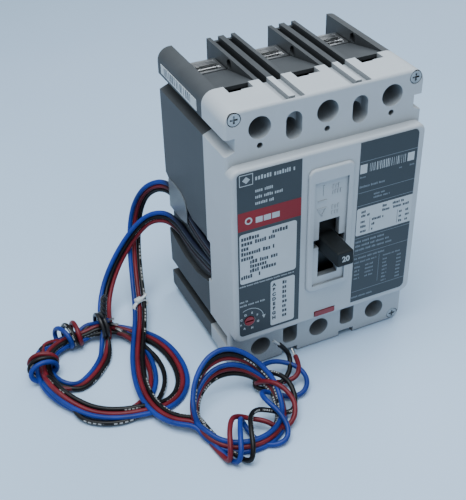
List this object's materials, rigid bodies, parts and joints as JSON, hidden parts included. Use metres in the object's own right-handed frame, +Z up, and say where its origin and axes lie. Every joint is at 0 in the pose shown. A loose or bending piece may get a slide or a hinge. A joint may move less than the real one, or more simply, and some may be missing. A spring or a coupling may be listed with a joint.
{
  "type": "motor protection breaker",
  "caption": "Three-pole moulded-case motor circuit protector with toggle handle, trip-setting knob, push-to-trip button, box lugs and two coiled bundles of switch leads.",
  "frame": {"origin": "middle of the case's foot, under the box of the breaker without its leads", "axes": "+Z up to the line end, -Y out of the front face, +X to the right when facing the front"},
  "size_m": [0.2004, 0.1551, 0.1524],
  "materials": {
    "case_base": "textured moulded plastic",
    "case_cover": "fine-textured moulded plastic",
    "label": "printed satin film",
    "side_label": "printed satin film",
    "clear_strip": "translucent moulded strip",
    "zinc_steel": "zinc plated",
    "dark_steel": "oiled",
    "spring_steel": "bright spring wire",
    "handle": "moulded plastic",
    "black_plastic": "moulded plastic",
    "red_plastic": "moulded plastic",
    "aluminium": "tin plated",
    "copper": "bare copper",
    "contact": "silver contact facing",
    "fibre": "pressed fibre board",
    "lead_blue": "extruded insulation",
    "lead_red": "extruded insulation",
    "lead_black": "extruded insulation",
    "tie_white": "moulded nylon",
    "tie_black": "moulded nylon"
  },
  "bodies": {
    "case": {"base": "case_base", "cover": "case_cover", "nameplate_left": "label", "nameplate_right": "label", "side_label": "side_label", "lead_strip": "clear_strip", "cover_screws": "zinc_steel", "side_frames": "zinc_steel", "mechanism_pins": "dark_steel", "button_spring": "spring_steel", "aux_switches": "black_plastic", "line_lugs": "aluminium", "line_jaws": "aluminium", "line_terminal_screws": "zinc_steel", "load_lugs": "aluminium", "load_jaws": "aluminium", "load_terminal_screws": "zinc_steel", "line_conductors": "copper", "load_conductors": "copper", "fixed_contacts": "contact", "shunts": "copper", "arc_chute_walls": "fibre", "arc_chute_plates": "dark_steel", "magnet_frames": "dark_steel", "magnet_cores": "dark_steel", "magnet_coils": "copper", "armature_pins": "dark_steel", "lead_front_blue": "lead_blue", "lead_front_red": "lead_red", "lead_front_black": "lead_black", "lead_side_blue": "lead_blue", "lead_side_red": "lead_red", "lead_side_black": "lead_black", "coil_front": "lead_black", "coil_side": "lead_black", "wire_tie_white": "tie_white", "wire_tie_black": "tie_black"},
    "handle": {"handle": "handle", "handle_yoke": "zinc_steel", "operating_springs": "spring_steel"},
    "crossbar": {"crossbar": "black_plastic", "contact_arm_1": "copper", "contact_arm_2": "copper", "contact_arm_3": "copper", "moving_contacts": "contact", "lever_pin": "zinc_steel"},
    "upper_links": {"upper_links": "zinc_steel"},
    "lower_links": {"lower_links": "zinc_steel"},
    "cradle": {"cradle": "dark_steel"},
    "latch": {"latch": "dark_steel"},
    "trip_bar": {"trip_bar": "black_plastic"},
    "push_button": {"push_to_trip_button": "red_plastic"},
    "adjust_knob": {"trip_adjust_knob": "red_plastic"},
    "adjust_bar": {"adjust_bar": "black_plastic"},
    "armature_1": {"armature_1": "dark_steel"},
    "armature_2": {"armature_2": "dark_steel"},
    "armature_3": {"armature_3": "dark_steel"},
    "aux_lever": {"aux_lever": "black_plastic"}
  },
  "joints": [
    {"name": "handle_swing", "type": "hinge", "parent": "case", "child": "handle", "pos_m": [0, 0.0075, 0.069], "axis": [-1, 0, 0], "range_deg": [-17, 11]},
    {"name": "crossbar_swing", "type": "hinge", "parent": "case", "child": "crossbar", "pos_m": [0, 0.0275, 0.056], "axis": [-1, 0, 0], "range_deg": [-15.4, 10]},
    {"name": "upper_link_swing", "type": "hinge", "parent": "case", "child": "upper_links", "pos_m": [0, -0.0104, 0.0839], "axis": [-1, 0, 0], "range_deg": [-5.16, 7.92]},
    {"name": "lower_link_swing", "type": "hinge", "parent": "crossbar", "child": "lower_links", "pos_m": [0, 0.01772, 0.06513], "axis": [-1, 0, 0], "range_deg": [-12.42, 19.14]},
    {"name": "aux_lever_swing", "type": "hinge", "parent": "case", "child": "aux_lever", "pos_m": [-0.0351, -0.0035, 0.094], "axis": [-1, 0, 0], "range_deg": [-2.5, 1.8]},
    {"name": "button_push", "type": "slide", "parent": "case", "child": "push_button", "axis": [0, 1, 0], "range_m": [0, 0.0025], "stiffness_N_per_m": 400},
    {"name": "trip_bar_swing", "type": "hinge", "parent": "case", "child": "trip_bar", "pos_m": [0, 0.0105, 0.054], "axis": [1, 0, 0], "range_deg": [-0.2, 6]},
    {"name": "latch_swing", "type": "hinge", "parent": "case", "child": "latch", "pos_m": [0, -0.0005, 0.05], "axis": [1, 0, 0], "range_deg": [-0.2, 5]},
    {"name": "cradle_swing", "type": "hinge", "parent": "case", "child": "cradle", "pos_m": [0, -0.0104, 0.0839], "axis": [-1, 0, 0], "range_deg": [0, 8], "stiffness_Nm_per_rad": 0.02},
    {"name": "armature_1_swing", "type": "hinge", "parent": "case", "child": "armature_1", "pos_m": [-0.03492, 0.0157, 0.0292], "axis": [-1, 0, 0], "range_deg": [0, 3], "stiffness_Nm_per_rad": 0.02},
    {"name": "armature_2_swing", "type": "hinge", "parent": "case", "child": "armature_2", "pos_m": [0, 0.0157, 0.0292], "axis": [-1, 0, 0], "range_deg": [0, 3], "stiffness_Nm_per_rad": 0.02},
    {"name": "armature_3_swing", "type": "hinge", "parent": "case", "child": "armature_3", "pos_m": [0.03492, 0.0157, 0.0292], "axis": [-1, 0, 0], "range_deg": [0, 3], "stiffness_Nm_per_rad": 0.02},
    {"name": "knob_turn", "type": "hinge", "parent": "case", "child": "adjust_knob", "pos_m": [-0.044, -0.0315, 0.0372], "axis": [0, -1, 0], "range_deg": [-157.5, 157.5]},
    {"name": "adjust_bar_slide", "type": "slide", "parent": "case", "child": "adjust_bar", "axis": [1, 0, 0], "range_m": [-0.0033, 0.0033]}
  ],
  "couplings": [
    {"joint": "crossbar_swing", "follows": "handle_swing", "ratio": 0.9},
    {"joint": "upper_link_swing", "follows": "handle_swing", "ratio": -0.46},
    {"joint": "lower_link_swing", "follows": "handle_swing", "ratio": -1.12},
    {"joint": "aux_lever_swing", "follows": "handle_swing", "ratio": 0.13},
    {"joint": "trip_bar_swing", "follows": "button_push", "rad_per_m": 37.6},
    {"joint": "latch_swing", "follows": "button_push", "rad_per_m": 30},
    {"joint": "knob_turn", "follows": "adjust_bar_slide", "rad_per_m": 832}
  ]
}
